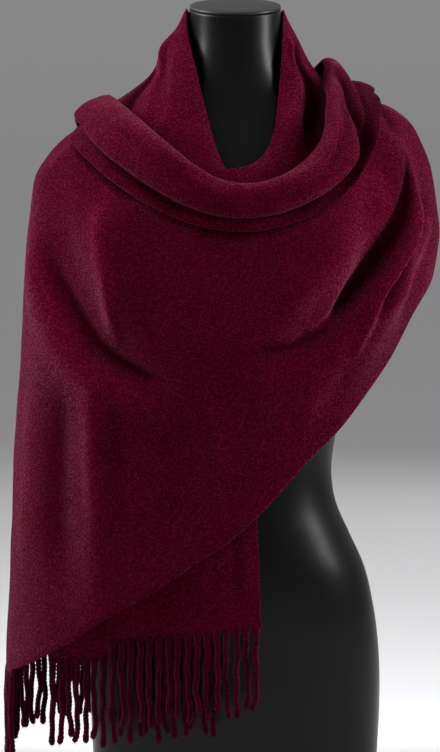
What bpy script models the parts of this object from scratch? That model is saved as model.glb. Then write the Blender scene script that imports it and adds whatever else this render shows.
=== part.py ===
"""An oblong fringed scarf wound round a headless, armless display torso.

Metres, +Z up, and the torso faces -Y. The origin is the middle of the torso's flat base.
The scarf is one long strip of felted wool. One fringed end hangs inside at the front, folded in two.
From there the cloth climbs to the neck, stands up round it as a collar, crosses the back, comes over
the viewer's right shoulder, falls across the chest as a cowl and a wide front, passes over the
viewer's left shoulder, and hangs down the back to its other fringed end.

A turn is an angle in degrees round the torso's axis: 0 and 360 are the front, 90 and 450 the viewer's
left, 180 and 540 the back, 270 the viewer's right. Turns above 360 are the winding's outer lap.
"""

import math
from collections import namedtuple

import bpy
import numpy as np
from mathutils import Vector
from mathutils.bvhtree import BVHTree

SCARF_THICKNESS = 0.0022
SEAM_GAP = 0.0003
FRINGE_LENGTH = 0.090
FRINGE_PITCH = 0.0098
STRAND_WIDTH = 0.0050
STRAND_SWAY = 0.0018
STRIP_HEIGHT = 0.004
STRAND_SEGMENTS = 3
LAYER_GAP = 0.0006
SETTLE_PROBE = 0.008
BESIDE_PROBE = 0.006
SETTLE_ROUNDS = 8
UNROLLED_RADIUS = 0.20

WOOL = ("wine_wool", (0.105, 0.004, 0.022), 0.9)
FORM_GLOSS = ("black_gloss", (0.006, 0.006, 0.007), 0.22)
CAP_SATIN = ("black_satin", (0.012, 0.012, 0.013), 0.45)

# The torso's level sections, from its flat base up to the neck
FormRow = namedtuple("FormRow", "height half_width front back")
FORM_ROWS = [
    FormRow(0.000, 0.149, 0.084, 0.104),
    FormRow(0.060, 0.153, 0.090, 0.112),
    FormRow(0.110, 0.155, 0.093, 0.117),
    FormRow(0.155, 0.154, 0.095, 0.117),
    FormRow(0.205, 0.148, 0.098, 0.108),
    FormRow(0.250, 0.137, 0.098, 0.092),
    FormRow(0.285, 0.121, 0.095, 0.080),
    FormRow(0.315, 0.108, 0.092, 0.074),
    FormRow(0.345, 0.103, 0.091, 0.073),
    FormRow(0.385, 0.107, 0.093, 0.076),
    FormRow(0.430, 0.119, 0.101, 0.084),
    FormRow(0.480, 0.134, 0.116, 0.094),
    FormRow(0.530, 0.147, 0.124, 0.102),
    FormRow(0.580, 0.156, 0.115, 0.108),
    FormRow(0.620, 0.163, 0.101, 0.110),
    FormRow(0.660, 0.170, 0.086, 0.106),
    FormRow(0.690, 0.174, 0.074, 0.097),
    FormRow(0.708, 0.163, 0.066, 0.087),
    FormRow(0.723, 0.138, 0.060, 0.078),
    FormRow(0.738, 0.100, 0.056, 0.070),
    FormRow(0.754, 0.071, 0.053, 0.062),
    FormRow(0.772, 0.056, 0.051, 0.055),
    FormRow(0.795, 0.050, 0.050, 0.050),
    FormRow(0.820, 0.049, 0.049, 0.048),
    FormRow(0.836, 0.049, 0.049, 0.048),
]
FORM_SQUARENESS = 2.25
SHOULDER_LEVELS = (0.685, 0.705, 0.720, 0.733, 0.745, 0.757, 0.772, 0.790, 0.812, 0.836)
NECK_TILT = 0.010
# The neck plate's outline: its share of the neck's own width, and its height above the neck
CAP_PROFILE = ((0.995, 0.0), (0.995, 0.0025), (0.96, 0.0035))

# How far the outer drape stands from the axis at each level: on the inner lap's back, then on the
# viewer's right, the front, the viewer's left and the outer lap's back
DrapeRow = namedtuple("DrapeRow", "height back_inner right front left back_outer")
DRAPE_ROWS = [
    DrapeRow(0.130, 0.122, 0.150, 0.136, 0.243, 0.152),
    DrapeRow(0.200, 0.122, 0.150, 0.137, 0.241, 0.150),
    DrapeRow(0.300, 0.121, 0.158, 0.139, 0.236, 0.147),
    DrapeRow(0.400, 0.121, 0.172, 0.143, 0.230, 0.145),
    DrapeRow(0.500, 0.122, 0.198, 0.147, 0.223, 0.144),
    DrapeRow(0.570, 0.122, 0.209, 0.139, 0.218, 0.143),
    DrapeRow(0.620, 0.120, 0.209, 0.122, 0.214, 0.139),
    DrapeRow(0.660, 0.114, 0.203, 0.104, 0.2105, 0.131),
    DrapeRow(0.678, 0.109, 0.198, 0.096, 0.206, 0.126),
    DrapeRow(0.692, 0.103, 0.192, 0.088, 0.198, 0.120),
    DrapeRow(0.704, 0.098, 0.187, 0.079, 0.184, 0.112),
    DrapeRow(0.714, 0.094, 0.182, 0.072, 0.166, 0.106),
    DrapeRow(0.724, 0.090, 0.173, 0.066, 0.143, 0.100),
    DrapeRow(0.736, 0.082, 0.158, 0.058, 0.122, 0.090),
    DrapeRow(0.743, 0.077, 0.143, 0.052, 0.105, 0.082),
    DrapeRow(0.747, 0.074, 0.127, 0.048, 0.095, 0.076),
]
DRAPE_SQUARENESS = 2.3
LEFT_LAP_INSET = 0.030

# The outer drape's upper edge and its lower one, which is the long edge from the viewer's right side
# down to the corner, and then the hem of the end that hangs at the back
EdgeRow = namedtuple("EdgeRow", "turn top low")
EDGE_ROWS = [
    EdgeRow(128, 0.724, 0.310),
    EdgeRow(150, 0.733, 0.335),
    EdgeRow(180, 0.733, 0.370),
    EdgeRow(210, 0.728, 0.412),
    EdgeRow(240, 0.736, 0.475),
    EdgeRow(256, 0.746, 0.530),
    EdgeRow(270, 0.747, 0.562),
    EdgeRow(279, 0.742, 0.551),
    EdgeRow(288, 0.733, 0.525),
    EdgeRow(298, 0.704, 0.486),
    EdgeRow(307, 0.678, 0.447),
    EdgeRow(319, 0.652, 0.402),
    EdgeRow(332, 0.632, 0.368),
    EdgeRow(348, 0.622, 0.322),
    EdgeRow(362, 0.620, 0.290),
    EdgeRow(376, 0.626, 0.267),
    EdgeRow(391, 0.640, 0.239),
    EdgeRow(408, 0.661, 0.207),
    EdgeRow(420, 0.680, 0.177),
    EdgeRow(432, 0.703, 0.152),
    EdgeRow(439, 0.713, 0.142),
    EdgeRow(450, 0.721, 0.147),
    EdgeRow(475, 0.724, 0.158),
    EdgeRow(500, 0.722, 0.164),
    EdgeRow(530, 0.712, 0.164),
]
TUCK_SHARE = 0.09
TUCK_IN = 0.008
TUCK_DOWN = 0.005

BACK_START = 128
FRONT_START = 265
HEM_CORNER = 439
TAIL_START = 448

# Where the outer lap ends at the back, beneath the cowl's tail
TailRow = namedtuple("TailRow", "height end_turn")
TAIL_ROWS = [
    TailRow(0.130, 519),
    TailRow(0.300, 517),
    TailRow(0.450, 512),
    TailRow(0.580, 503),
    TailRow(0.660, 488),
    TailRow(0.730, 474),
]

# The drape's largest folds. Each follows a bent line through three places and stands out or sinks in
Fold = namedtuple("Fold", "turn_a height_a turn_b height_b turn_c height_c width lift")
FOLDS = [
    Fold(432, 0.640, 409, 0.440, 380, 0.447, 0.020, -0.013),
    Fold(420, 0.640, 400, 0.500, 384, 0.490, 0.024, 0.006),
    Fold(428, 0.520, 414, 0.400, 392, 0.395, 0.024, 0.006),
    Fold(294, 0.690, 312, 0.520, 350, 0.474, 0.019, -0.020),
    Fold(314, 0.610, 330, 0.550, 352, 0.520, 0.022, 0.006),
    Fold(284, 0.740, 297, 0.540, 322, 0.430, 0.019, 0.010),
    Fold(276, 0.745, 282, 0.600, 302, 0.470, 0.017, -0.010),
    Fold(266, 0.750, 270, 0.640, 284, 0.540, 0.019, 0.008),
    Fold(440, 0.690, 434, 0.560, 426, 0.430, 0.018, 0.007),
    Fold(408, 0.430, 408, 0.320, 407, 0.190, 0.020, 0.006),
    Fold(423, 0.430, 421, 0.300, 420, 0.180, 0.018, -0.008),
    Fold(250, 0.745, 205, 0.590, 130, 0.610, 0.018, -0.014),
    Fold(255, 0.720, 215, 0.530, 130, 0.540, 0.020, 0.010),
    Fold(260, 0.690, 232, 0.470, 130, 0.450, 0.018, -0.010),
    Fold(460, 0.700, 462, 0.420, 461, 0.160, 0.018, -0.012),
    Fold(474, 0.700, 478, 0.420, 477, 0.160, 0.018, 0.012),
    Fold(486, 0.700, 493, 0.420, 494, 0.160, 0.016, -0.013),
]

# The cowl's guide line, from under the outer lap at the back, over the viewer's right shoulder, across
# the chest, over the viewer's left shoulder and down the back. The roll lies on it, half_height to each
# side, bulging out by bulge and leaning forward by lean degrees. The lower fold lies fold_drop below it
CowlRow = namedtuple("CowlRow", "x y z half_height bulge lean fold_drop fold_half fold_lean")
COWL_ROWS = [
    CowlRow(-0.102, 0.074, 0.719, 0.018, 0.007, 0, 0.020, 0.009, 0),
    CowlRow(-0.058, 0.096, 0.714, 0.020, 0.009, 0, 0.024, 0.013, 0),
    CowlRow(0.002, 0.108, 0.710, 0.022, 0.010, 0, 0.026, 0.014, 0),
    CowlRow(0.056, 0.099, 0.727, 0.022, 0.011, 8, 0.028, 0.015, 0),
    CowlRow(0.092, 0.062, 0.757, 0.019, 0.011, 26, 0.032, 0.016, -10),
    CowlRow(0.102, 0.008, 0.773, 0.014, 0.010, 30, 0.034, 0.015, -14),
    CowlRow(0.108, -0.042, 0.743, 0.018, 0.011, 24, 0.031, 0.015, -8),
    CowlRow(0.106, -0.092, 0.689, 0.022, 0.012, 12, 0.025, 0.013, 4),
    CowlRow(0.071, -0.127, 0.653, 0.019, 0.011, 12, 0.021, 0.013, 12),
    CowlRow(0.020, -0.143, 0.636, 0.0175, 0.011, 14, 0.020, 0.013, 14),
    CowlRow(-0.031, -0.141, 0.643, 0.019, 0.011, 13, 0.022, 0.013, 13),
    CowlRow(-0.083, -0.121, 0.675, 0.024, 0.012, 8, 0.028, 0.014, 8),
    CowlRow(-0.126, -0.074, 0.709, 0.026, 0.011, 0, 0.030, 0.013, 0),
    CowlRow(-0.145, -0.010, 0.730, 0.021, 0.009, -6, 0.030, 0.012, -4),
    CowlRow(-0.145, 0.060, 0.720, 0.023, 0.010, 0, 0.030, 0.014, 0),
    CowlRow(-0.122, 0.114, 0.664, 0.022, 0.010, 0, 0.030, 0.015, 0),
    CowlRow(-0.089, 0.143, 0.570, 0.021, 0.010, 0, 0.031, 0.016, 0),
    CowlRow(-0.053, 0.159, 0.430, 0.023, 0.011, 0, 0.034, 0.018, 0),
    CowlRow(-0.032, 0.165, 0.290, 0.026, 0.012, 0, 0.038, 0.021, 0),
    CowlRow(-0.022, 0.168, 0.166, 0.028, 0.013, 0, 0.041, 0.023, 0),
]
ROLL_CURL = (128, -106)
FOLD_CURL = (100, -125)
FOLD_SINK = 0.0075
FOLD_BULGE = 0.006

# The collar from the opening's lowest point, round the viewer's left, the back and the viewer's right,
# and on across the front again. Each section runs from its selvedge down through two places to its foot
CollarRow = namedtuple(
    "CollarRow", "turn top_radius top upper_radius upper lower_radius lower foot_radius foot"
)
COLLAR_ROWS = [
    CollarRow(-6, 0.102, 0.648, 0.105, 0.645, 0.108, 0.641, 0.111, 0.635),
    CollarRow(8, 0.095, 0.666, 0.100, 0.660, 0.105, 0.654, 0.110, 0.644),
    CollarRow(18, 0.080, 0.702, 0.092, 0.690, 0.101, 0.676, 0.112, 0.652),
    CollarRow(35, 0.068, 0.762, 0.084, 0.742, 0.096, 0.716, 0.116, 0.676),
    CollarRow(60, 0.057, 0.808, 0.073, 0.782, 0.088, 0.752, 0.124, 0.708),
    CollarRow(85, 0.0508, 0.834, 0.069, 0.800, 0.086, 0.764, 0.138, 0.732),
    CollarRow(120, 0.055, 0.832, 0.064, 0.802, 0.077, 0.768, 0.127, 0.716),
    CollarRow(180, 0.056, 0.822, 0.062, 0.793, 0.072, 0.760, 0.098, 0.720),
    CollarRow(240, 0.055, 0.832, 0.062, 0.804, 0.072, 0.772, 0.100, 0.740),
    CollarRow(275, 0.0508, 0.834, 0.064, 0.808, 0.076, 0.778, 0.099, 0.744),
    CollarRow(300, 0.056, 0.802, 0.074, 0.773, 0.086, 0.744, 0.100, 0.708),
    CollarRow(320, 0.070, 0.750, 0.086, 0.722, 0.096, 0.698, 0.108, 0.668),
    CollarRow(335, 0.090, 0.694, 0.101, 0.678, 0.107, 0.664, 0.113, 0.648),
    CollarRow(350, 0.102, 0.672, 0.109, 0.662, 0.114, 0.652, 0.118, 0.640),
    CollarRow(368, 0.111, 0.667, 0.115, 0.657, 0.118, 0.648, 0.121, 0.638),
    CollarRow(386, 0.113, 0.662, 0.117, 0.652, 0.120, 0.644, 0.123, 0.634),
]
COLLAR_KNOTS = (0.0, 0.33, 0.66, 1.0)

# The two layers of the end that hangs inside at the front, each from its top edge down to its hem
EndRow = namedtuple("EndRow", "height left right inset")
INNER_FRONT_ROWS = [
    EndRow(0.652, -0.074, -0.016, 0.006),
    EndRow(0.600, -0.088, -0.006, 0.007),
    EndRow(0.530, -0.102, 0.004, 0.007),
    EndRow(0.450, -0.116, 0.012, 0.007),
    EndRow(0.380, -0.124, 0.018, 0.007),
    EndRow(0.300, -0.130, 0.022, 0.007),
    EndRow(0.188, -0.132, 0.026, 0.007),
]
INNER_BACK_ROWS = [
    EndRow(0.560, -0.086, -0.030, 0.0100),
    EndRow(0.500, -0.106, -0.028, 0.0098),
    EndRow(0.440, -0.138, -0.025, 0.0098),
    EndRow(0.370, -0.166, -0.022, 0.0100),
    EndRow(0.300, -0.184, -0.020, 0.0110),
    EndRow(0.162, -0.194, -0.018, 0.0120),
]
SIDE_INSET = 0.012
INNER_HEM_SLOPE = 0.12


def column(rows, name):
    return np.array([getattr(row, name) for row in rows])


def through(knots, values, at):
    """A smooth curve through values at knots, which leaves each at the slope between its neighbours."""
    slopes = np.gradient(values, knots, axis=0)
    at = np.clip(at, knots[0], knots[-1])
    row = np.clip(np.searchsorted(knots, at, side="right") - 1, 0, len(knots) - 2)
    span = knots[row + 1] - knots[row]
    t = (at - knots[row]) / span
    if np.ndim(values) > 1:
        span, t = span[:, None], t[:, None]
    return (
        (2 * t**3 - 3 * t**2 + 1) * values[row]
        + (t**3 - 2 * t**2 + t) * span * slopes[row]
        + (3 * t**2 - 2 * t**3) * values[row + 1]
        + (t**3 - t**2) * span * slopes[row + 1]
    )


def between(rows, key, name, at):
    """A table's column at places between its rows."""
    order = np.argsort(column(rows, key))
    return through(column(rows, key)[order], column(rows, name)[order], at)


def ease(t):
    t = np.clip(t, 0, 1)
    return t * t * (3 - 2 * t)


def ring_radius(turn, side, ahead, squareness):
    """The radius of an oval that reaches side across and ahead along the torso's own front and back."""
    angle = np.radians(turn)
    return (
        (np.abs(np.sin(angle)) / side) ** squareness + (np.abs(np.cos(angle)) / ahead) ** squareness
    ) ** (-1 / squareness)


def at_turn(turn, radius, height):
    angle = np.radians(turn)
    return np.stack([-radius * np.sin(angle), -radius * np.cos(angle), height + 0 * radius], axis=-1)


def form_radius(turn, height):
    side = between(FORM_ROWS, "height", "half_width", height)
    ahead = np.where(
        np.cos(np.radians(turn)) > 0,
        between(FORM_ROWS, "height", "front", height),
        between(FORM_ROWS, "height", "back", height),
    )
    return ring_radius(turn, side, ahead, FORM_SQUARENESS)


def fold_lift(turn, height):
    """How far the drape's folds move it out at each place."""
    lift = np.zeros(np.broadcast(turn, height).shape)
    along = np.radians(turn) * UNROLLED_RADIUS
    steps = np.linspace(0, 1, 33)
    for fold in FOLDS:
        nearest = np.full(lift.shape, np.inf)
        share = np.zeros(lift.shape)
        for t in steps:
            bent = (1 - t) ** 2, 2 * t * (1 - t), t**2
            fold_turn = bent[0] * fold.turn_a + bent[1] * fold.turn_b + bent[2] * fold.turn_c
            fold_height = bent[0] * fold.height_a + bent[1] * fold.height_b + bent[2] * fold.height_c
            away = np.hypot(along - math.radians(fold_turn) * UNROLLED_RADIUS, height - fold_height)
            share = np.where(away < nearest, t, share)
            nearest = np.minimum(away, nearest)
        ends = ease(share / 0.25 + 0.15) * ease((1 - share) / 0.45 + 0.05)
        lift += fold.lift * np.exp(-((nearest / fold.width) ** 2)) * ends
    return lift


def drape_radius(turn, height):
    """The outer drape's distance from the axis, on its inner lap below 270 and its outer lap above 450."""
    angle = np.radians(turn)
    lap_inset = LEFT_LAP_INSET * (turn < 180)
    side = np.where(
        np.sin(angle) > 0,
        between(DRAPE_ROWS, "height", "left", height) - lap_inset,
        between(DRAPE_ROWS, "height", "right", height),
    )
    back = np.where(
        turn < 360,
        between(DRAPE_ROWS, "height", "back_inner", height),
        between(DRAPE_ROWS, "height", "back_outer", height),
    )
    ahead = np.where(np.cos(angle) > 0, between(DRAPE_ROWS, "height", "front", height), back)
    return ring_radius(turn, side, ahead, DRAPE_SQUARENESS)


def drape_points(turn, share):
    """Middle points of the outer drape. share runs from 0 at its upper edge to 1 at its lower one."""
    top = between(EDGE_ROWS, "turn", "top", turn)
    low = between(EDGE_ROWS, "turn", "low", turn)
    height = top + (low - top) * share
    tuck = np.clip(1 - share / TUCK_SHARE, 0, 1) ** 2
    radius = drape_radius(turn, height) + fold_lift(turn, height) - TUCK_IN * tuck
    return at_turn(turn, radius, height - TUCK_DOWN * tuck)


def drape_grid():
    """The whole winding but its collar and cowl, as one sheet, with the place of each named column.

    The last columns lean, so that the cowl's tail covers the sheet's far edge all the way down.
    """
    turns = np.concatenate(
        [
            np.linspace(BACK_START, FRONT_START, 20),
            np.linspace(FRONT_START, HEM_CORNER, 39)[1:],
            np.linspace(HEM_CORNER, TAIL_START, 3)[1:],
        ]
    )
    share = np.linspace(0, 1, 20)
    flat = np.repeat(turns[:, None], len(share), axis=1)
    end = between(TAIL_ROWS, "height", "end_turn", 0.72 - 0.56 * share)
    along = np.linspace(0, 1, 17)[1:, None]
    turn = np.concatenate([flat, TAIL_START + (end - TAIL_START) * along])
    places = {mark: int(np.abs(turns - mark).argmin()) for mark in (FRONT_START, HEM_CORNER, TAIL_START)}
    return drape_points(turn, np.broadcast_to(share, turn.shape)), places


def cut(grid, first, last):
    """The columns of a sheet from first to last, drawn in a little at each seam, and their normals."""
    piece = grid[first : last + 1].copy()
    if first > 0:
        piece[0] += unit(piece[1] - piece[0]) * SEAM_GAP / 2
    if last < len(grid) - 1:
        piece[-1] += unit(piece[-2] - piece[-1]) * SEAM_GAP / 2
    return piece, normals_of(grid)[first : last + 1]


def unit(vectors):
    return vectors / np.linalg.norm(vectors, axis=-1, keepdims=True)


def cowl_frame(count, lean_name):
    """The cowl's guide line: its places, its directions out and up, and its table's other columns."""
    stations = np.arange(len(COWL_ROWS))
    at = np.linspace(0, stations[-1], count)
    values = {name: through(stations, column(COWL_ROWS, name), at) for name in CowlRow._fields}
    place = np.stack([values["x"], values["y"], values["z"]], axis=-1)
    along = unit(np.gradient(place, axis=0))
    # Out of the body: level where the cloth hangs, and rising where it lies on the chest and shoulders
    rise = 0.060 * ease((place[:, 2] - 0.58) / 0.12)
    core = np.stack([0.6 * place[:, 0], 0 * rise, place[:, 2] - rise], axis=-1)
    out = place - core
    out = unit(out - along * np.sum(out * along, axis=-1, keepdims=True))
    up = np.cross(along, out)
    lean = np.radians(values[lean_name])[:, None]
    return place, out * np.cos(lean) - up * np.sin(lean), up * np.cos(lean) + out * np.sin(lean), values


def curled(place, out, up, half, bulge, curl, around):
    """A strip of cloth along a line, half wide to each side, bulging out, with its edges curled in."""
    at = np.radians(np.linspace(curl[0], curl[1], around))[None, :, None]
    return (
        place[:, None]
        + up[:, None] * half[:, None, None] * np.sin(at)
        + out[:, None] * bulge[:, None, None] * np.cos(at)
    )


def roll_grid(count, around):
    place, out, up, values = cowl_frame(count, "lean")
    grid = curled(place, out, up, values["half_height"], values["bulge"], ROLL_CURL, around)
    return grid, np.broadcast_to(out[:, None], grid.shape)


def lower_fold_grid(count, around):
    place, out, up, values = cowl_frame(count, "fold_lean")
    place = place - up * values["fold_drop"][:, None] - out * FOLD_SINK
    bulge = np.full(count, FOLD_BULGE)
    grid = curled(place, out, up, values["fold_half"], bulge, FOLD_CURL, around)
    return grid, np.broadcast_to(out[:, None], grid.shape)


def collar_grid(around, down):
    turn = np.linspace(COLLAR_ROWS[0].turn, COLLAR_ROWS[-1].turn, around)
    knots = np.array(COLLAR_KNOTS)
    share = np.linspace(0, 1, down)

    def sections(names):
        levels = np.array([between(COLLAR_ROWS, "turn", name, turn) for name in names])
        return through(knots, levels, share).T

    radius = sections(("top_radius", "upper_radius", "lower_radius", "foot_radius"))
    height = sections(("top", "upper", "lower", "foot"))
    return at_turn(turn[:, None] + 0 * height, radius, height)


def inner_end_grid(rows, across, down):
    """A layer of the inner end, hanging between the torso and the drape's front."""
    top, low = rows[0].height, rows[-1].height
    share, t = np.meshgrid(np.linspace(1, 0, across), np.linspace(0, 1, down), indexing="ij")
    height = top + (low - top) * t
    left = between(rows, "height", "left", height)
    right = between(rows, "height", "right", height)
    x = left + (right - left) * share
    side = between(DRAPE_ROWS, "height", "left", height)
    front = between(DRAPE_ROWS, "height", "front", height)
    depth = front * (1 - np.clip(np.abs(x) / side, 0, 0.97) ** DRAPE_SQUARENESS) ** (1 / DRAPE_SQUARENESS)
    depth = depth - between(rows, "height", "inset", height) - SIDE_INSET * ease(np.abs(x) / 0.13)
    # The hem climbs a little towards the viewer's right
    height = height + INNER_HEM_SLOPE * (x - left) * ease((0.40 - height) / 0.2)
    turn = np.degrees(np.arctan2(-x, depth))
    return at_turn(turn, np.hypot(x, depth), height)


def finish_of(finish):
    name, colour, roughness = finish
    made = bpy.data.materials.get(name)
    if made is None:
        made = bpy.data.materials.new(name)
        made.use_nodes = True
        shader = made.node_tree.nodes["Principled BSDF"]
        shader.inputs["Base Color"].default_value = (*colour, 1)
        shader.inputs["Roughness"].default_value = roughness
        made.diffuse_color = (*colour, 1)
    return made


def solid(name, points, faces, finish):
    mesh = bpy.data.meshes.new(name)
    mesh.from_pydata([tuple(p) for p in points], [], [tuple(int(k) for k in face) for face in faces])
    mesh.materials.append(finish_of(finish))
    mesh.shade_smooth()
    mesh.set_sharp_from_angle(angle=math.radians(50))
    made = bpy.data.objects.new(name, mesh)
    bpy.context.scene.collection.objects.link(made)
    return made


def normals_of(grid):
    return unit(np.cross(np.gradient(grid, axis=0), np.gradient(grid, axis=1)))


def halved(grid):
    """The same sheet with a row and a column of points put halfway between each two."""
    rows, columns = grid.shape[:2]
    fine = np.empty((2 * rows - 1, 2 * columns - 1, 3))
    fine[::2, ::2] = grid
    fine[1::2, ::2] = (grid[1:] + grid[:-1]) / 2
    fine[:, 1::2] = (fine[:, 2::2] + fine[:, :-1:2]) / 2
    return fine


def neighbours(field):
    """The eight fields that hold, at each place, one of its neighbours."""
    rows, columns = field.shape[:2]
    padded = np.pad(field, ((1, 1), (1, 1), (0, 0)), mode="edge")
    return [padded[i : i + rows, j : j + columns] for i in range(3) for j in range(3) if (i, j) != (1, 1)]


def longest(first, second):
    """At each place, the longer of two fields' vectors."""
    longer = np.linalg.norm(second, axis=-1) > np.linalg.norm(first, axis=-1)
    return np.where(longer[..., None], second, first)


def shifts(points, ways, trees, clearance, probe):
    """What would bring each point clear of the trees' solids: first out of them, then away from them."""
    shift = np.zeros(points.shape)
    for i, j in np.ndindex(points.shape[:2]):
        place, out = Vector(points[i, j]), Vector(ways[i, j])
        for tree in trees:
            struck, facing, _, _ = tree.ray_cast(place + out * probe, -out, probe)
            if struck is not None and facing.dot(out) > 0:
                place = struck + out * clearance
            nearest, _, _, away = tree.find_nearest(place, clearance)
            if nearest is not None and away > 1e-6:
                place = nearest + (place - nearest) * (clearance / away)
        shift[i, j] = place - Vector(points[i, j])
    return shift


def settle(grid, carriers, out_of_body=None, probe=SETTLE_PROBE):
    """A sheet moved until it clears the solids that carry it, with each move evened out round its place.

    A point inside a carrier moves along the sheet's own normal, or along out_of_body. Points between the
    sheet's own ones count too, so that its flat faces clear a round carrier.
    """
    trees = [
        BVHTree.FromPolygons([v.co for v in made.data.vertices], [f.vertices for f in made.data.polygons])
        for made in carriers
    ]
    for _ in range(SETTLE_ROUNDS):
        ways = normals_of(grid) if out_of_body is None else out_of_body
        fine, ways = halved(halved(grid)), unit(halved(halved(ways)))
        shift = shifts(fine, ways, trees, SCARF_THICKNESS / 2 + LAYER_GAP, probe)
        if np.abs(shift).max() < 1e-5:
            break
        for _ in range(3):
            for near in neighbours(shift):
                shift = longest(shift, near)
        own = shift[::4, ::4]
        spread = own
        for _ in range(3):
            spread = longest(own, (spread + sum(neighbours(spread))) / 9)
        grid = grid + spread
    return grid


def wall(name, grid, normals=None):
    """A closed sheet of cloth, half its thickness to each side of a grid of middle points."""
    normals = normals_of(grid) if normals is None else normals
    outer = grid + normals * SCARF_THICKNESS / 2
    inner = grid - normals * SCARF_THICKNESS / 2
    rows, columns = grid.shape[:2]
    under = rows * columns
    index = np.arange(under).reshape(rows, columns)
    faces = []
    for i in range(rows - 1):
        for j in range(columns - 1):
            a, b, c, d = index[i, j], index[i + 1, j], index[i + 1, j + 1], index[i, j + 1]
            faces.append((a, b, c, d))
            faces.append((d + under, c + under, b + under, a + under))
    edge = [*index[:, 0], *index[-1, 1:], *index[-2::-1, -1], *index[0, -2:0:-1]]
    for a, b in zip(edge, edge[1:] + edge[:1]):
        faces.append((b, a, a + under, b + under))
    return solid(name, np.concatenate([outer.reshape(-1, 3), inner.reshape(-1, 3)]), faces, WOOL)


def closed_loft(name, rings, finish):
    """A solid through closed rings of points, from its lowest ring to its highest, capped at both ends."""
    levels, around = rings.shape[:2]
    index = np.arange(levels * around).reshape(levels, around)
    faces = [tuple(index[0, ::-1]), tuple(index[-1])]
    for i in range(levels - 1):
        for j in range(around):
            k = (j + 1) % around
            faces.append((index[i, j], index[i, k], index[i + 1, k], index[i + 1, j]))
    return solid(name, rings.reshape(-1, 3), faces, finish)


def form_rings(around, levels):
    """The torso's rings. The neck's top is cut on a slant, lower at the front."""
    height = np.array(levels)[:, None]
    turn = -np.linspace(0, 360, around, endpoint=False)[None, :]
    radius = form_radius(turn, height)
    slant = NECK_TILT * ease((height - 0.78) / 0.05) * np.cos(np.radians(turn))
    return at_turn(turn + 0 * height, radius, height - slant)


def make_form():
    """The torso, with levels close together where the shoulders turn in, and the plate on its neck."""
    rings = form_rings(26, [*np.linspace(0, 0.66, 15), *SHOULDER_LEVELS])
    torso = closed_loft("display_torso", rings, FORM_GLOSS)
    top = rings[-1]
    middle = top.mean(axis=0)
    cap = []
    for share, rise in CAP_PROFILE:
        cap.append(middle + (top - middle) * share + np.array([0, 0, SEAM_GAP + rise]))
    closed_loft("neck_cap", np.array(cap), CAP_SATIN)
    return torso


def fringe(name, sheet, phase):
    """A narrow strip parted from a sheet's hem, with strands grown out of the strip's underside."""
    edge = sheet[:, -1]
    down = unit(edge - sheet[:, -2])
    place = np.concatenate([[0], np.cumsum(np.linalg.norm(np.diff(edge, axis=0), axis=1))])
    count = int(place[-1] / FRINGE_PITCH)
    centres = place[-1] * (np.arange(count) + 0.5) / count
    marks = [0.0]
    for centre in centres:
        marks += [centre - STRAND_WIDTH / 2, centre + STRAND_WIDTH / 2]
    marks.append(place[-1])

    def read(values, at):
        return np.stack([np.interp(at, place, values[:, k]) for k in range(3)], axis=-1)

    marks = np.array(marks)
    start = read(edge, marks)
    drop = unit(read(down, marks))
    along = unit(np.gradient(start, axis=0))
    out = unit(np.cross(along, drop))
    half = SCARF_THICKNESS * 0.6
    top = start + drop * SEAM_GAP
    low = start + drop * (SEAM_GAP + STRIP_HEIGHT)
    points = [*(top + out * half), *(top - out * half), *(low + out * half), *(low - out * half)]
    n = len(marks)
    front_top, back_top, front_low, back_low = (np.arange(n) + k * n for k in range(4))
    faces = []
    for i in range(n - 1):
        faces.append((front_top[i], front_top[i + 1], front_low[i + 1], front_low[i]))
        faces.append((back_top[i + 1], back_top[i], back_low[i], back_low[i + 1]))
        faces.append((back_top[i], back_top[i + 1], front_top[i + 1], front_top[i]))
        if i % 2 == 0:
            faces.append((front_low[i], front_low[i + 1], back_low[i + 1], back_low[i]))
    for i, turned in ((0, False), (n - 1, True)):
        face = (front_top[i], front_low[i], back_low[i], back_top[i])
        faces.append(face[::-1] if turned else face)
    for k in range(count):
        i = 1 + 2 * k
        ring = [front_low[i], front_low[i + 1], back_low[i + 1], back_low[i]]
        root = np.array([points[c] for c in ring])
        root_middle = root.mean(axis=0)
        side, outward = along[i], out[i]
        beat = phase + 2.4 * k
        reach = FRINGE_LENGTH * (1 + 0.03 * math.sin(1.7 * beat))
        for s in range(1, STRAND_SEGMENTS + 1):
            t = s / STRAND_SEGMENTS
            sway = side * STRAND_SWAY * math.sin(beat + 2.2 * t) * t
            sway = sway + outward * STRAND_SWAY / 2 * math.sin(1.3 * beat + 3 * t) * t
            # A strand leaves the hem the way the cloth runs, and then hangs straight down
            lean = drop[i] * ease(1 - t) * 0.3
            way = unit(np.array([0, 0, -1.0]) + lean)
            middle = root_middle + way * reach * t + sway
            taper = 1 - 0.28 * t
            corners = [
                middle - side * STRAND_WIDTH / 2 * taper + outward * half * taper,
                middle + side * STRAND_WIDTH / 2 * taper + outward * half * taper,
                middle + side * STRAND_WIDTH / 2 * taper - outward * half * taper,
                middle - side * STRAND_WIDTH / 2 * taper - outward * half * taper,
            ]
            new = list(range(len(points), len(points) + 4))
            points.extend(corners)
            for j in range(4):
                m = (j + 1) % 4
                faces.append((ring[j], ring[m], new[m], new[j]))
            ring = new
        faces.append(tuple(ring))
    return solid(name, np.array(points), faces, WOOL)


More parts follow.
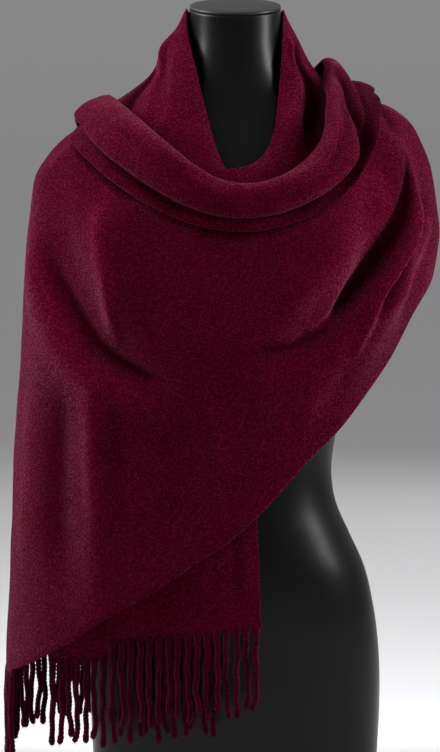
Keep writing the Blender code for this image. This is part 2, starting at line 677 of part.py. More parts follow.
def main():
    for old in list(bpy.data.objects):
        bpy.data.objects.remove(old)
    torso = make_form()

    inner_back_points = settle(inner_end_grid(INNER_BACK_ROWS, 9, 10), [torso])
    inner_back = wall("inner_end_back", inner_back_points)
    inner_front_points = settle(inner_end_grid(INNER_FRONT_ROWS, 9, 12), [torso, inner_back])
    inner_front = wall("inner_end_front", inner_front_points)

    drape, places = drape_grid()
    drape = settle(drape, [torso, inner_front])
    last = len(drape) - 1
    back = wall("back_stretch", *cut(drape, 0, places[FRONT_START]))
    front = wall("front_stretch", *cut(drape, places[FRONT_START], places[TAIL_START]))
    tail = wall("tail_stretch", *cut(drape, places[TAIL_START], last))
    collar = wall("collar", settle(collar_grid(38, 7), [torso, back, inner_front, front, tail]))

    carriers = [torso, back, inner_front, front, tail, collar]
    fold_points, fold_out = lower_fold_grid(46, 5)
    fold_points = settle(fold_points, carriers, fold_out)
    lower_fold = wall("cowl_lower_fold", fold_points)
    roll_points, roll_out = roll_grid(52, 7)
    roll_points = settle(roll_points, carriers, roll_out)
    roll_points = settle(roll_points, [lower_fold], roll_out, BESIDE_PROBE)
    wall("cowl_roll", roll_points)

    fringe("fringe_inner_back", inner_back_points, phase=1.3)
    fringe("fringe_inner_front", inner_front_points, phase=0.0)
    fringe("fringe_tail", drape[places[HEM_CORNER] :], phase=0.6)
    fringe("fringe_lower_fold", fold_points.transpose(1, 0, 2), phase=2.0)
    fringe("fringe_roll", roll_points.transpose(1, 0, 2), phase=3.1)


main()
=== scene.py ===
# %% [markdown]
# # A fringed wool scarf on a display torso
#
# One long strip of felted wool is wound round the neck and shoulders of a glossy black torso. The shapes and
# sizes come with the imported model. Each step below takes one stretch of the cloth, or one finish, and makes
# it look like the real one. The first step loads the model.

# %% The imported model
import math
from collections import deque, namedtuple

import bmesh
import bpy
import numpy as np
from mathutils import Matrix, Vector, noise


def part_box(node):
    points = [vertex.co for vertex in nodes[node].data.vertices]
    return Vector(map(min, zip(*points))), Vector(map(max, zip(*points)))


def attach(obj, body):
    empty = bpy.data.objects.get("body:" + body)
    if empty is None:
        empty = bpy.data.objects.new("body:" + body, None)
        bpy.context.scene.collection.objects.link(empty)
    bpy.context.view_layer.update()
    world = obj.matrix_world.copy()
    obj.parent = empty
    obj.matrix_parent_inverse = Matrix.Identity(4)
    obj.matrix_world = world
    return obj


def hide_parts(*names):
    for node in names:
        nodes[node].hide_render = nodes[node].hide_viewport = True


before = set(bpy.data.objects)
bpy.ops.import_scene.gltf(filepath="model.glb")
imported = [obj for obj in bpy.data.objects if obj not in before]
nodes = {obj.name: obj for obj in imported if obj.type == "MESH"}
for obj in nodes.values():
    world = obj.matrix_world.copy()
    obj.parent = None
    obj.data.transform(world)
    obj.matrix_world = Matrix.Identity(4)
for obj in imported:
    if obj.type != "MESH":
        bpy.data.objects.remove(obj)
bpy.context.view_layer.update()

scene = bpy.context.scene
print("nodes:", ", ".join(sorted(nodes)))

# %% [markdown]
# ## The camera
#
# A product picture of this kind is taken from a few metres away, so the sides stay nearly parallel. The
# camera stands at chest height and looks down by a few degrees. A long lens gives the same calm outline.


# %% The camera
def placed(name, data):
    """A new object in the scene."""
    made = bpy.data.objects.new(name, data)
    scene.collection.objects.link(made)
    return made


camera_aim = Vector((-0.016, 0.0, 0.449))
camera_distance = 3.2
camera_rise = math.radians(4)
view_height = 0.797

lens = bpy.data.cameras.new("camera")
lens.sensor_width = 36
lens.lens = lens.sensor_width / 2 / (view_height / 2 / camera_distance)
camera = placed("camera", lens)
away = Vector((0, -math.cos(camera_rise), math.sin(camera_rise)))
camera.location = camera_aim + away * camera_distance
camera.rotation_euler = (math.radians(90) - camera_rise, 0, 0)
scene.camera = camera
print(f"camera {camera_distance} m away, lens {lens.lens:.1f} mm")

# %% [markdown]
# ## The studio
#
# Felt shows its nap best when light brushes along it. Two tall soft lights therefore stand at the sides, the
# left one stronger. A third brushes the shoulders from above, and weak fills stand in front and behind. The
# soft lights also give the torso the long, blurred reflections that gloss lacquer has, so the fills are kept
# out of them. The world grows lighter upwards, and the floor is plain and pale. The world and every finish
# further down are made of nodes, so this step also holds a few short helpers for node trees.


# %% Soft lights
def soft_light(name, place, aim, size, power):
    data = bpy.data.lights.new(name, "AREA")
    data.shape = "RECTANGLE"
    data.size, data.size_y = size
    data.energy = power
    made = placed(name, data)
    made.location = place
    made.rotation_euler = (Vector(aim) - Vector(place)).to_track_quat("-Z", "Y").to_euler()
    return made


left_key = soft_light("left_key", (-1.12, -0.16, 1.48), (-0.10, 0, 0.80), (0.40, 1.2), 31)
right_key = soft_light("right_key", (1.12, -0.30, 1.16), (0.08, 0, 0.66), (0.35, 1.2), 26)
top_fill = soft_light("top_fill", (-0.6, -1.9, 2.6), (0, 0, 0.50), (1.2, 0.8), 2)
top_rim = soft_light("top_rim", (-0.75, 0.40, 1.75), (-0.12, 0, 0.74), (0.6, 0.6), 11)
back_fill = soft_light("back_fill", (0.9, 2.8, 1.9), (0, 0, 0.50), (1.6, 1.2), 24)
for fill in (top_fill, back_fill):
    fill.visible_glossy = False
for light in (left_key, right_key, top_fill, top_rim, back_fill):
    print(f"{light.name}: {light.data.energy:.0f} W")


# %% Helpers for node trees
def new_group(name, inputs, outputs):
    """A shader node group with float inputs, given with their defaults, and float outputs."""
    group = bpy.data.node_groups.new(name, "ShaderNodeTree")
    for title, value in inputs.items():
        socket = group.interface.new_socket(title, in_out="INPUT", socket_type="NodeSocketFloat")
        socket.default_value = value
    for title in outputs:
        group.interface.new_socket(title, in_out="OUTPUT", socket_type="NodeSocketFloat")
    return group, group.nodes.new("NodeGroupInput"), group.nodes.new("NodeGroupOutput")


def put(tree, kind, settings=None, **values):
    """A new node, with its settings and with values or links for its inputs."""
    node = tree.nodes.new(kind)
    for key, value in (settings or {}).items():
        setattr(node, key, value)
    for key, value in values.items():
        socket = node.inputs[int(key[1:]) if key[0] == "_" else key.replace("_", " ")]
        if isinstance(value, bpy.types.NodeSocket):
            tree.links.new(value, socket)
        else:
            socket.default_value = value
    return node


def maths(tree, operation, first, second=0.0):
    return put(tree, "ShaderNodeMath", {"operation": operation}, _0=first, _1=second).outputs[0]


def ranged(tree, value, low, high, new_low, new_high):
    node = put(tree, "ShaderNodeMapRange", {}, _0=value, _1=low, _2=high, _3=new_low, _4=new_high)
    return node.outputs[0]


def blend(tree, share, first, second):
    return put(tree, "ShaderNodeMix", {"data_type": "RGBA"}, _0=share, _6=first, _7=second).outputs[2]


def speckle(tree, place, scale, detail, **more):
    return put(tree, "ShaderNodeTexNoise", {}, Vector=place, Scale=scale, Detail=detail, **more).outputs[0]


def new_material(name, colour):
    """A material with its shader, and the plain colour that it has in Blender's viewport."""
    made = bpy.data.materials.new(name)
    made.use_nodes = True
    made.diffuse_color = (*colour, 1)
    return made, made.node_tree, made.node_tree.nodes["Principled BSDF"]


print("node helpers: new_group, put, maths, ranged, blend, speckle, new_material")

# %% The pale world
low_tone = (0.60, 0.60, 0.61, 1)
high_tone = (0.96, 0.96, 0.97, 1)
lightest_from = 0.5
world_strength = 0.38

world = bpy.data.worlds.new("studio")
world.use_nodes = True
sky = world.node_tree
upward = put(sky, "ShaderNodeSeparateXYZ", {}, _0=put(sky, "ShaderNodeTexCoord").outputs["Generated"])
rise = ranged(sky, upward.outputs["Z"], 0, lightest_from, 0, 1)
backdrop = sky.nodes["Background"]
backdrop.inputs["Strength"].default_value = world_strength
sky.links.new(blend(sky, rise, low_tone, high_tone), backdrop.inputs["Color"])
scene.world = world
scene.view_settings.view_transform = "Standard"
print(f"world: tone {low_tone[0]} low down, {high_tone[0]} high up, strength {world_strength}")

# %% The floor
floor_reach = 30.0
floor_gap = 0.0002

floor_mesh = bpy.data.meshes.new("floor")
corners = [(x * floor_reach, y * floor_reach, 0) for x, y in ((-1, -1), (1, -1), (1, 1), (-1, 1))]
floor_mesh.from_pydata(corners, [], [(0, 1, 2, 3)])
floor = placed("floor", floor_mesh)
floor.location = (0, 0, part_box("display_torso")[0].z - floor_gap)
floor_grey = (0.62, 0.62, 0.63)
pale_floor, _, floor_shader = new_material("pale_floor", floor_grey)
floor_shader.inputs["Base Color"].default_value = (*floor_grey, 1)
floor_shader.inputs["Roughness"].default_value = 0.8
floor_mesh.materials.append(pale_floor)
print(f"floor: {floor_gap * 1000:.1f} mm under the torso")

# %% [markdown]
# ## Felt, as a group of nodes
#
# Felted wool has no visible weave. Its surface is a mat of short fibres: fine specks, a faint drift of tone
# where the nap lies another way, and very small pits. The cloth and the fringe's yarn both need it, so it is
# a node group with its own inputs. It gives a mask of light fibres, a height for the bump, and the drift.

# %% The felt group
speck_range = (0.46, 0.62)
nap_range = (0.3, 0.7)
pit_scale = 2.3
pit_share = 0.5

felt, felt_in, felt_out = new_group(
    "felted_fibres", {"Fibre Scale": 620.0, "Nap Scale": 22.0}, ("Light Fibres", "Height", "Nap")
)
place = put(felt, "ShaderNodeTexCoord").outputs["Object"]
fibre_scale = felt_in.outputs["Fibre Scale"]
specks = speckle(felt, place, fibre_scale, 3.0, Roughness=0.62)
finer = maths(felt, "MULTIPLY", fibre_scale, pit_scale)
pits = speckle(felt, place, finer, 2.0, Roughness=0.7, Distortion=0.6)
drift = speckle(felt, place, felt_in.outputs["Nap Scale"], 4.0, Roughness=0.6)
height = maths(felt, "ADD", specks, maths(felt, "MULTIPLY", pits, pit_share))
felt.links.new(ranged(felt, specks, *speck_range, 0.0, 1.0), felt_out.inputs["Light Fibres"])
felt.links.new(height, felt_out.inputs["Height"])
felt.links.new(ranged(felt, drift, *nap_range, 0.0, 1.0), felt_out.inputs["Nap"])
print("felt group:", len(felt.nodes), "nodes")

# %% [markdown]
# Deep in a fold, dark wool swallows nearly all the light, and the top of a fold looks a little lighter than
# the flat cloth beside it. Both are painted into the colour here. The creases made further down leave a value
# named hollow on each point, and the painted shadow lines add to it. A second small group turns that value
# into a painted shade, darker in hollows and lighter on ridges, which the wool and the yarn multiply their
# colour by.

# %% The painted fold shade group
# Painted shade and light: the colour is darkened in hollows and under painted shadow lines, lightened on
# ridges.
folds, folds_in, folds_out = new_group("painted_fold_shade", {"Ridge Shade": 1.28, "Hollow Shade": 0.10}, ("Shade",))
hollow = put(folds, "ShaderNodeAttribute", {"attribute_name": "hollow"}).outputs["Fac"]
shade = ranged(folds, hollow, -1.0, 1.0, folds_in.outputs["Ridge Shade"], folds_in.outputs["Hollow Shade"])
folds.links.new(shade, folds_out.inputs["Shade"])
print("fold shade group:", len(folds.nodes), "nodes")

# %% [markdown]
# ## The wool and the yarn
#
# The wool is a deep wine red. Light fibres lift its specks a little, and the drift of the nap makes some
# places deeper than others. Sheen stands for the fibre ends that catch light at the cloth's turned-away
# edges: they glow in a cooler pink. The fringe is the same wool, twisted, so it gets its own values.


# %% Wool materials
nap_tones = (0.86, 1.12)
nap_sheen = (0.6, 1.6)
nap_roughness = (0.95, 0.8)
felt_depth = 0.0020
cool_pink = (1.0, 0.34, 0.54, 1)


def wool(name, deep, fibre, specks_at, sheen, bump, fibre_scale):
    made, tree, shader = new_material(name, deep)
    fibres = put(tree, "ShaderNodeGroup", {"node_tree": felt}, Fibre_Scale=fibre_scale)
    light_fibres = fibres.outputs["Light Fibres"]
    deeper, lighter = ((*(share * c for c in deep), 1) for share in nap_tones)
    toned = blend(tree, fibres.outputs["Nap"], deeper, lighter)
    specked = blend(tree, maths(tree, "MULTIPLY", light_fibres, specks_at), toned, (*fibre, 1))
    # Painted shade: the colour and sheen are darker in hollows and painted shadows, lighter on ridges.
    painted_shade = put(tree, "ShaderNodeGroup", {"node_tree": folds}).outputs["Shade"]
    shaded = put(tree, "ShaderNodeVectorMath", {"operation": "SCALE"}, _0=specked, Scale=painted_shade)
    tree.links.new(shaded.outputs[0], shader.inputs["Base Color"])
    nap_and_painted_shade = maths(tree, "MULTIPLY", painted_shade, ranged(tree, light_fibres, 0, 1, *nap_sheen))
    tree.links.new(maths(tree, "MULTIPLY", nap_and_painted_shade, sheen), shader.inputs["Sheen Weight"])
    tree.links.new(ranged(tree, light_fibres, 0, 1, *nap_roughness), shader.inputs["Roughness"])
    height = fibres.outputs["Height"]
    relief = put(tree, "ShaderNodeBump", {}, Height=height, Strength=bump, Distance=felt_depth)
    tree.links.new(relief.outputs["Normal"], shader.inputs["Normal"])
    shader.inputs["Specular IOR Level"].default_value = 0.0
    shader.inputs["Sheen Roughness"].default_value = 0.25
    shader.inputs["Sheen Tint"].default_value = cool_pink
    return made


felted_wool = wool("felted_wool", (0.0640, 0.0004, 0.0080), (0.226, 0.012, 0.061), 0.45, 0.34, 1.0, 560.0)
twisted_yarn = wool("twisted_yarn", (0.0400, 0.0003, 0.0060), (0.170, 0.009, 0.048), 0.50, 0.22, 0.9, 800.0)
print("wool materials:", felted_wool.name, twisted_yarn.name)

# %% [markdown]
# ## Lacquer
#
# The torso is moulded and sprayed with black gloss lacquer. Sprayed lacquer is never quite flat: it has a
# very shallow ripple, and handling leaves a few duller patches. Both are small, so that long reflections
# waver slightly but stay whole. The plate on the neck is satin. Both are sprayed, so ripple and patches are
# one node group, and each material places it with its own ripple.

# %% The sprayed coat group
coat, coat_in, coat_out = new_group(
    "sprayed_coat", {"Ripple Scale": 160.0, "Patch Scale": 7.0}, ("Ripple", "Patches")
)
spot = put(coat, "ShaderNodeTexCoord").outputs["Object"]
coat.links.new(speckle(coat, spot, coat_in.outputs["Ripple Scale"], 1.0), coat_out.inputs["Ripple"])
coat.links.new(speckle(coat, spot, coat_in.outputs["Patch Scale"], 3.0), coat_out.inputs["Patches"])
print("sprayed coat group:", len(coat.nodes), "nodes")


# %% Torso materials
patch_range = (0.3, 0.75)
handled_tone = 1.5
ripple_depth = 0.0004
ripple_strength = 0.12


def lacquer(name, colour, shiny, dull, ior, ripple_scale):
    """Shiny and dull are the roughness of the coat between its patches and on them."""
    made, tree, shader = new_material(name, colour)
    sprayed = put(tree, "ShaderNodeGroup", {"node_tree": coat}, Ripple_Scale=ripple_scale)
    patches = sprayed.outputs["Patches"]
    tree.links.new(ranged(tree, patches, *patch_range, shiny, dull), shader.inputs["Roughness"])
    handled = (*(handled_tone * c for c in colour), 1)
    tree.links.new(blend(tree, patches, (*colour, 1), handled), shader.inputs["Base Color"])
    relief = put(tree, "ShaderNodeBump", {}, Height=sprayed.outputs["Ripple"], Strength=ripple_strength,
                 Distance=ripple_depth)
    tree.links.new(relief.outputs["Normal"], shader.inputs["Normal"])
    shader.inputs["IOR"].default_value = ior
    return made


gloss_black = lacquer("gloss_black", (0.0012, 0.0012, 0.0014), 0.28, 0.42, 1.26, 160.0)
satin_black = lacquer("satin_black", (0.006, 0.006, 0.0065), 0.38, 0.50, 1.35, 420.0)
print("torso materials:", gloss_black.name, satin_black.name)

# %% [markdown]
# ## The torso
#
# A display torso is smooth all round, so it is lofted: a table gives its oval sections, and rings of points
# run through them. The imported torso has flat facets, which would show in the gloss. This one has fine rings,
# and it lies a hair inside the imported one, so that it never comes through the cloth.

# %% The torso's sections
Section = namedtuple("Section", "height half_width front back")
TORSO = [Section(*row) for row in (
    (0.000, 0.149, 0.084, 0.104),
    (0.060, 0.153, 0.090, 0.112),
    (0.110, 0.155, 0.093, 0.117),
    (0.155, 0.154, 0.095, 0.117),
    (0.205, 0.148, 0.098, 0.108),
    (0.250, 0.137, 0.098, 0.092),
    (0.285, 0.121, 0.095, 0.080),
    (0.315, 0.108, 0.092, 0.074),
    (0.345, 0.103, 0.091, 0.073),
    (0.385, 0.107, 0.093, 0.076),
    (0.430, 0.119, 0.101, 0.084),
    (0.480, 0.134, 0.116, 0.094),
    (0.530, 0.147, 0.124, 0.102),
    (0.580, 0.156, 0.115, 0.108),
    (0.620, 0.163, 0.101, 0.110),
    (0.660, 0.170, 0.086, 0.106),
    (0.690, 0.174, 0.074, 0.097),
    (0.708, 0.163, 0.066, 0.087),
    (0.723, 0.138, 0.060, 0.078),
    (0.738, 0.100, 0.056, 0.070),
    (0.754, 0.071, 0.053, 0.062),
    (0.772, 0.056, 0.051, 0.055),
    (0.795, 0.050, 0.050, 0.050),
    (0.820, 0.049, 0.049, 0.048),
    (0.836, 0.049, 0.049, 0.048),
)]
squareness = 2.25
inside = 0.0008
print(f"{len(TORSO)} sections, the top one at {TORSO[-1].height} m")


# %% Curves through a table
def column(rows, name):
    return np.array([getattr(row, name) for row in rows])


def through(knots, values, at):
    """A smooth curve through values at knots."""
    slopes = np.gradient(values, knots, axis=0)
    at = np.clip(at, knots[0], knots[-1])
    row = np.clip(np.searchsorted(knots, at, side="right") - 1, 0, len(knots) - 2)
    span = knots[row + 1] - knots[row]
    t = (at - knots[row]) / span
    if np.ndim(values) > 1:
        span, t = span[:, None], t[:, None]
    first = (2 * t**3 - 3 * t**2 + 1) * values[row] + (t**3 - 2 * t**2 + t) * span * slopes[row]
    return first + (3 * t**2 - 2 * t**3) * values[row + 1] + (t**3 - t**2) * span * slopes[row + 1]


def ease(t):
    t = np.clip(t, 0, 1)
    return t * t * (3 - 2 * t)


half_width = through(column(TORSO, "height"), column(TORSO, "half_width"), 0.40)
print(f"0.40 m up, the torso is {2 * half_width:.3f} m wide")

# %% Lofting
ring_points = 112
neck_slant = 0.010
slant_start = 0.78
slant_span = 0.05
sharp_angle = math.radians(55)


def torso_rings(heights, shrink):
    """Rings round the torso at the given heights, a little inside its sections."""
    heights = np.asarray(heights)[:, None]
    angle = np.linspace(0, 2 * math.pi, ring_points, endpoint=False)[None, :]
    side, front, back = (
        through(column(TORSO, "height"), column(TORSO, name), heights.ravel())[:, None] - shrink
        for name in ("half_width", "front", "back")
    )
    ahead = np.where(np.cos(angle) > 0, front, back)
    across, along = np.abs(np.sin(angle)) / side, np.abs(np.cos(angle)) / ahead
    radius = (across**squareness + along**squareness) ** (-1 / squareness)
    slant = neck_slant * ease((heights - slant_start) / slant_span) * np.cos(angle)
    return np.stack([radius * np.sin(angle), -radius * np.cos(angle), heights - slant], axis=-1)


def ring_faces(levels, around):
    """The quads between rings of points, and the two faces that close the ends."""
    index = np.arange(levels * around).reshape(levels, around)
    ahead = np.roll(index, -1, axis=1)
    quads = np.stack([index[:-1], ahead[:-1], ahead[1:], index[1:]], axis=-1).reshape(-1, 4)
    return [tuple(q) for q in quads.tolist()], [tuple(index[0, ::-1].tolist()), tuple(index[-1].tolist())]


def lofted(name, rings, material):
    """A closed, smooth object through rings of points, from the lowest ring up."""
    quads, ends = ring_faces(*rings.shape[:2])
    mesh = bpy.data.meshes.new(name)
    mesh.from_pydata(rings.reshape(-1, 3).tolist(), [], ends + quads)
    mesh.materials.append(material)
    mesh.shade_smooth()
    mesh.set_sharp_from_angle(angle=sharp_angle)
    return placed(name, mesh)


print(f"{ring_points} points in each ring")

# %% The torso
neck_top = TORSO[-1].height
foot_radius = 0.12
foot_round = [(0.0, 0.0030), (0.0010, 0.0012), (0.0030, 0.0002)]
lip_round = [(0.0, 0.0018), (0.010, 0.0005), (0.035, 0.0)]
torso_levels = [0.006, *np.linspace(0.015, 0.690, 120), *np.linspace(0.694, 0.8335, 60)]
rings = torso_rings([h for h, _ in foot_round] + torso_levels, inside)
for i, (_, inset) in enumerate(foot_round):
    rings[i, :, :2] *= 1 - inset / foot_radius
top_ring = torso_rings([neck_top], inside)[0]
lip = [top_ring + (top_ring.mean(axis=0) - top_ring) * share - [0, 0, drop] for share, drop in lip_round]
torso = lofted("torso", np.concatenate([rings, np.array(lip)]), gloss_black)
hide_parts("display_torso")
print("torso:", len(torso.data.polygons), "faces")

# %% The neck plate
plate_gap = 0.0004
plate_profile = [(0.985, 0.0), (0.992, 0.0004), (0.992, 0.0020), (0.985, 0.0027), (0.96, 0.0031),
                 (0.60, 0.0033), (0.20, 0.0034)]
plate_base = top_ring + [0, 0, plate_gap]
plate = np.array([plate_base.mean(axis=0) * (1 - s) + plate_base * s + [0, 0, h] for s, h in plate_profile])
neck_plate = lofted("neck_plate", plate, satin_black)
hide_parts("neck_cap")
print("neck plate:", len(neck_plate.data.polygons), "faces")

# %% [markdown]
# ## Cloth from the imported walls
#
# Each stretch of the scarf comes as a closed wall with coarse faces. Its triangles are joined to quads, and
# Blender's subdivision then rounds them off as cloth bends. The scarf is one piece of cloth, so the back,
# front and tail are welded where they meet before that. Every point also keeps its turn: the angle round the
# torso, counted on along the cloth, so that a second lap isn't mistaken for the first.

# %% Welding the walls
same_point = 1e-5
weld_reach = 0.0005
quad_angle = math.radians(60)


def wall_of(names):
    """The named packed walls as one body of quads."""
    body = bmesh.new()
    for name in names:
        one = bmesh.new()
        one.from_mesh(nodes[name].data)
        bmesh.ops.remove_doubles(one, verts=one.verts, dist=same_point)
        bmesh.ops.join_triangles(one, faces=one.faces, angle_face_threshold=quad_angle,
                                 angle_shape_threshold=math.pi, topology_influence=1.5)
        holder = bpy.data.meshes.new("holder")
        one.to_mesh(holder)
        body.from_mesh(holder)
        bpy.data.meshes.remove(holder)
        one.free()
    if len(names) > 1:
        pairs = bmesh.ops.find_doubles(body, verts=body.verts, dist=weld_reach)["targetmap"]
        kept = set(pairs.values())
        bmesh.ops.weld_verts(body, targetmap=pairs)
        shut_in = [face for face in body.faces if all(v in kept for v in face.verts)]
        bmesh.ops.delete(body, geom=shut_in, context="FACES_ONLY")
        bmesh.ops.delete(body, geom=[edge for edge in body.edges if not edge.link_faces], context="EDGES")
    bmesh.ops.recalc_face_normals(body, faces=body.faces)
    return body


def wound_turns(body, start, start_turn):
    """Each point's turn, counted on along the cloth from the point nearest to start."""
    body.verts.ensure_lookup_table()
    first = min(body.verts, key=lambda v: (v.co - Vector(start)).length)
    turns = {first.index: start_turn}
    queue = deque([first])
    while queue:
        here = queue.popleft()
        for edge in here.link_edges:
            there = edge.other_vert(here)
            if there.index not in turns:
                angle = math.degrees(math.atan2(-there.co.x, -there.co.y))
                last = turns[here.index]
                turns[there.index] = last + (angle - last + 180) % 360 - 180
                queue.append(there)
    return turns


print(f"seams are welded where they are less than {weld_reach * 1000:.1f} mm apart")

# %% Smoothing the walls
rim_angle = math.radians(55)
cut_edge = 0.9
folded_edge = 0.3


def smooth_cloth(name, names, start, start_turn, levels, edge_crease):
    """A fine, smooth object on the named walls, with each point's turn kept as an attribute."""
    body = wall_of(names)
    turns = wound_turns(body, start, start_turn)
    turn_layer = body.verts.layers.float.new("turn")
    crease_layer = body.edges.layers.float.new("crease_edge")
    for v in body.verts:
        v[turn_layer] = turns[v.index]
    for edge in body.edges:
        if len(edge.link_faces) == 2 and edge.calc_face_angle() > rim_angle:
            edge[crease_layer] = edge_crease
    mesh = bpy.data.meshes.new(name)
    body.to_mesh(mesh)
    open_edges = sum(len(edge.link_faces) != 2 for edge in body.edges)
    body.free()
    rough = placed(name + "_rough", mesh)
    finer = rough.modifiers.new("finer", "SUBSURF")
    finer.levels = finer.render_levels = levels
    fine = bpy.data.meshes.new_from_object(rough.evaluated_get(bpy.context.evaluated_depsgraph_get()))
    bpy.data.objects.remove(rough)
    fine.name = name
    fine.materials.clear()
    fine.materials.append(felted_wool)
    fine.shade_smooth()
    print(f"{name}: {len(fine.polygons)} faces, {open_edges} open edges")
    return placed(name, fine)


def cloth_places(made):
    """The points of a piece, and their turns."""
    points = np.empty(len(made.data.vertices) * 3)
    made.data.vertices.foreach_get("co", points)
    turns = np.empty(len(made.data.vertices))
    made.data.attributes["turn"].data.foreach_get("value", turns)
    return points.reshape(-1, 3), turns


def move_cloth(made, points):
    made.data.vertices.foreach_set("co", points.ravel())
    made.data.update()


print(f"rims keep {cut_edge:.0%} of their edge at a cut, and {folded_edge:.0%} at a fold")

# %% [markdown]
# ## Creases
#
# The large folds are in the imported walls. What is missing is what the eye reads as cloth: the sharper line
# at the bottom of a fold, the soft ridge beside it, and slow waves in between. Each crease is a row of a
# table. It passes through three or more places, given by turn and height, and stands out or sinks in by its
# lift. Both faces of the wall move together, straight out from the body, so the cloth keeps its thickness.
# A painted shadow is a row that moves nothing and only deepens the painted shade in the colour.

# %% How creases move the cloth
unrolled_radius = 0.20
line_steps = 64
crease_reach = 3
end_share = 0.25
Crease = namedtuple("Crease", "lift left right places")


def even(lift, width, places):
    """A crease that is as wide on its left as on its right."""
    return Crease(lift, width, width, places)


def unrolled(turns, heights):
    return np.stack([np.radians(turns) * unrolled_radius, heights], axis=-1)


def crease_lift(turns, heights, creases):
    """How far a table of creases moves each place out. A crease is written from its top end down, and left
    and right are its widths on the two sides as seen from outside."""
    total = np.zeros(len(turns))
    spots = unrolled(turns, heights)
    for crease in creases:
        knots = unrolled(*np.array(crease.places).T)
        line = through(np.arange(len(knots)), knots, np.linspace(0, len(knots) - 1, line_steps))
        reach = crease_reach * max(crease.left, crease.right)
        near = np.all((spots > line.min(axis=0) - reach) & (spots < line.max(axis=0) + reach), axis=-1)
        here = spots[near]
        gap = np.full(len(here), np.inf)
        share, side = np.zeros(len(here)), np.zeros(len(here))
        for k, (point, ahead) in enumerate(zip(line, np.gradient(line, axis=0))):
            offset = here - point
            distance = np.hypot(offset[:, 0], offset[:, 1])
            closer = distance < gap
            gap[closer] = distance[closer]
            share[closer] = k / (len(line) - 1)
            side[closer] = (ahead[0] * offset[:, 1] - ahead[1] * offset[:, 0])[closer]
        width = np.where(side > 0, crease.left, crease.right)
        ends = ease(share / end_share) * ease((1 - share) / end_share)
        total[near] += crease.lift * np.exp(-((gap / width) ** 2)) * ends
    return total


print(f"a crease fades out over {end_share:.0%} of its length at each end")

# %% Creasing a piece
# A crease this deep gets the full painted shade; a ridge gets painted light up to ridge_limit.
full_hollow = 0.010
ridge_limit = -0.35
shoulder_start = 0.66
shoulder_span = 0.09
shoulder_rise = 0.9


def slow_waves(points, size, lift, seed):
    """Low, uneven waves, the same each time."""
    return lift * np.array([noise.noise(Vector(p) / size + Vector((seed, 2 * seed, 0))) for p in points])


def out_of_body(points):
    """Level outwards on the sides, and rising over the shoulders."""
    rise = shoulder_rise * ease((points[:, 2] - shoulder_start) / shoulder_span)
    level = np.hypot(points[:, 0], points[:, 1])
    out = np.stack([points[:, 0] / level, points[:, 1] / level, rise], axis=-1)
    return out / np.linalg.norm(out, axis=-1, keepdims=True)


def crease(made, creases, waves, wave_size, seed, painted_shadows=()):
    """Moves the cloth by creases and waves, and keeps how much painted shade each point gets."""
    points, turns = cloth_places(made)
    lift = crease_lift(turns, points[:, 2], creases)
    # Painted shade: how hollow each point is, plus the painted shadows, kept for the fold shade group.
    hollow = np.clip(-lift / full_hollow, ridge_limit, 1) + crease_lift(turns, points[:, 2], painted_shadows)
    made.data.attributes.new("hollow", "FLOAT", "POINT").data.foreach_set("value", np.clip(hollow, -1, 1))
    lift += slow_waves(points, wave_size, waves, seed)
    move_cloth(made, points + out_of_body(points) * lift[:, None])
    print(f"{made.name}: {len(creases)} creases, moved {lift.min() * 1000:.1f} to {lift.max() * 1000:.1f} mm")


print(f"a crease {full_hollow * 1000:.0f} mm deep counts as fully hollow")

# %% [markdown]
# Sharp creases need more points than the rest of a stretch, so faces that lie in a given window of turn and
# height are cut once more. And some ends want to be eased a few millimetres over, as one does with a
# fingertip: a nudge moves all points near a place, fading to nothing at its reach.

# %% Finer windows, and nudges
Window = namedtuple("Window", "turn_low turn_high low high")
Nudge = namedtuple("Nudge", "x y z reach move")


def cut_finer(made, windows):
    """Cuts the outer faces once more in each window."""
    body = bmesh.new()
    body.from_mesh(made.data)
    turn_layer = body.verts.layers.float["turn"]
    chosen = set()
    for face in body.faces:
        middle = face.calc_center_median()
        if face.normal.x * middle.x + face.normal.y * middle.y < 0:
            continue
        turn = sum(v[turn_layer] for v in face.verts) / len(face.verts)
        if any(w.turn_low < turn < w.turn_high and w.low < middle.z < w.high for w in windows):
            chosen |= set(face.edges)
    in_order = sorted(chosen, key=lambda edge: edge.index)
    bmesh.ops.subdivide_edges(body, edges=in_order, cuts=1, use_grid_fill=True, smooth=0.0)
    body.to_mesh(made.data)
    body.free()
    print(f"{made.name}: {len(made.data.polygons)} faces with its finer windows")


def fade(gap, reach):
    return (1 - np.clip(gap / reach, 0, 1) ** 2) ** 2


def nudge(made, nudges, before=math.inf):
    """Moves the points near each place, but only those whose turn comes before the given one."""
    points, turns = cloth_places(made)
    for n in nudges:
        gap = np.linalg.norm(points - np.array([n.x, n.y, n.z]), axis=-1)
        points += np.array(n.move) * (fade(gap, n.reach) * (turns < before))[:, None]
    move_cloth(made, points)


print(f"half way to its reach, a nudge still moves {fade(1, 2):.0%}")
